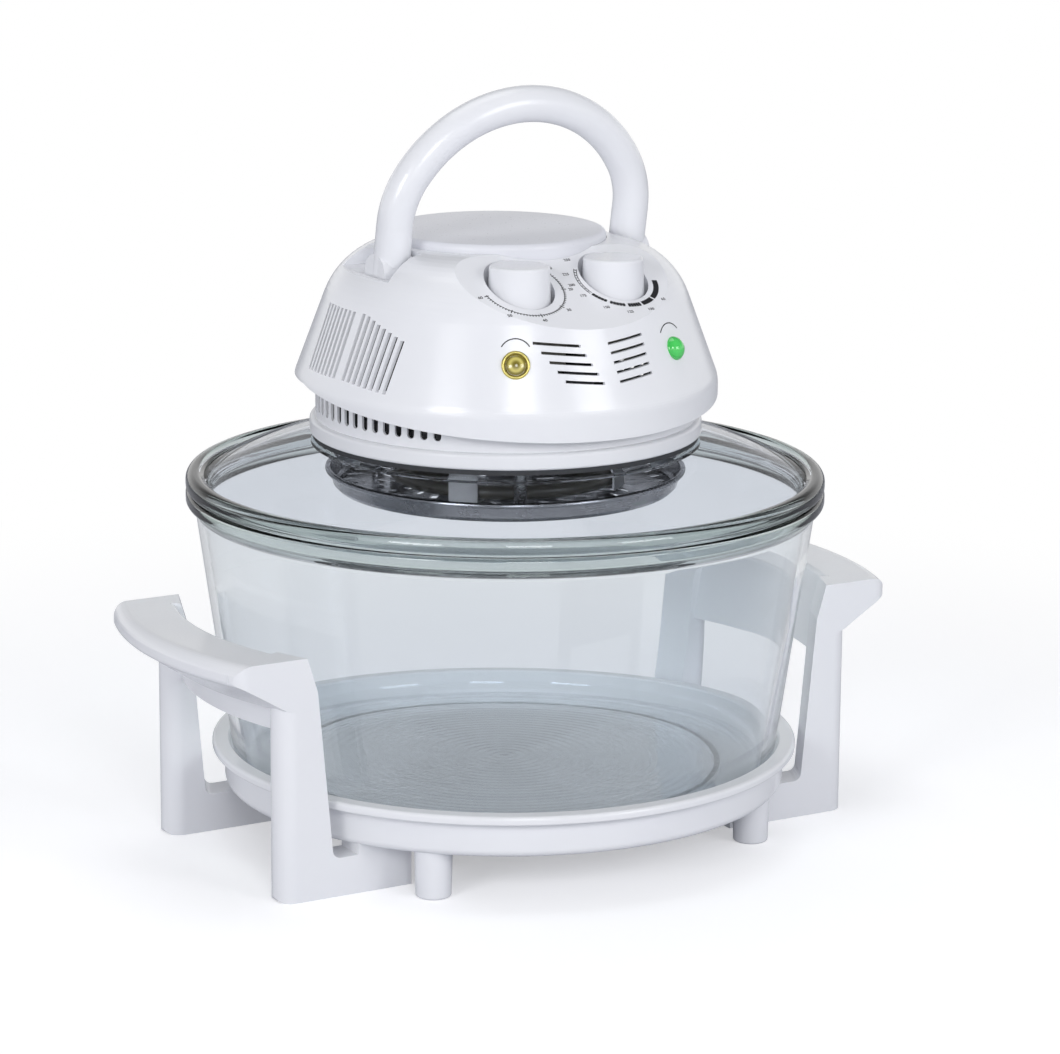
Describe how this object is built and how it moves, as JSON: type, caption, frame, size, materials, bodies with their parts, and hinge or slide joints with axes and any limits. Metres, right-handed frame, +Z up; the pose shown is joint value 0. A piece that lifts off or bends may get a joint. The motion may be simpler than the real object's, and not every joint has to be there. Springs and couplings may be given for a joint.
{
  "type": "halogen oven",
  "caption": "Table-top halogen oven: round glass bowl in a white base with carrying frames, glass lid with a domed heating head and a folding carry handle.",
  "frame": {"origin": "on the table plane under the bowl's centre line", "axes": "+Z up, -Y towards the user and the control panel, +X to the right as the user sees it"},
  "size_m": [0.407, 0.33, 0.3898],
  "materials": {
    "white_plastic": "gloss",
    "clear_glass": "polished",
    "steel": "satin",
    "dark_steel": "polished",
    "silicone": "matte",
    "lamp_glass": "polished",
    "ceramic": "matte",
    "motor_metal": "satin",
    "beige_plastic": "matte",
    "black_plastic": "matte",
    "amber_lens": "gloss",
    "green_lens": "gloss"
  },
  "bodies": {
    "base": {"base_tray": "white_plastic", "base_feet": "white_plastic", "side_frame_left": "white_plastic", "side_frame_right": "white_plastic", "frame_screws": "steel"},
    "bowl": {"glass_bowl": "clear_glass"},
    "head": {"glass_lid": "clear_glass", "lid_gasket": "silicone", "clamp_ring": "steel", "head_base": "white_plastic", "hood": "white_plastic", "top_cap": "white_plastic", "hood_screws": "steel", "reflector": "steel", "heater_ring": "lamp_glass", "heater_terminals": "ceramic", "heater_brackets": "steel", "guard_spacers": "dark_steel", "guard_tray": "dark_steel", "guard_screws": "steel", "fan_motor": "motor_metal", "motor_bracket": "steel", "timer_unit": "beige_plastic", "thermostat_unit": "beige_plastic", "safety_switch": "black_plastic", "power_lamp_lens": "amber_lens", "heat_lamp_lens": "green_lens", "handle_pins": "steel", "cord_inlet": "silicone"},
    "fans": {"motor_shaft": "steel", "cooling_fan": "steel", "convection_fan": "steel"},
    "timer": {"timer_shaft": "steel", "timer_knob": "white_plastic"},
    "thermostat": {"thermostat_shaft": "steel", "temperature_knob": "white_plastic"},
    "handle": {"carry_handle": "white_plastic"}
  },
  "joints": [
    {"name": "bowl_lift", "type": "slide", "parent": "base", "child": "bowl", "axis": [0, 0, 1], "range_m": [0, 0.06]},
    {"name": "head_lift", "type": "slide", "parent": "bowl", "child": "head", "axis": [0, 0, 1], "range_m": [0, 0.1]},
    {"name": "handle_fold", "type": "hinge", "parent": "head", "child": "handle", "pos_m": [0, -0.003, 0.297], "axis": [-1, 0, 0], "range_deg": [0, 72.4]},
    {"name": "timer_turn", "type": "hinge", "parent": "head", "child": "timer", "pos_m": [-0.0272, -0.06, 0.3], "axis": [0, 0, -1], "range_deg": [0, 300]},
    {"name": "temperature_turn", "type": "hinge", "parent": "head", "child": "thermostat", "pos_m": [0.0272, -0.06, 0.3], "axis": [0, 0, -1], "range_deg": [0, 270]},
    {"name": "fan_spin", "type": "hinge", "parent": "head", "child": "fans", "pos_m": [0, 0, 0.225], "axis": [0, 0, 1], "continuous": true}
  ]
}
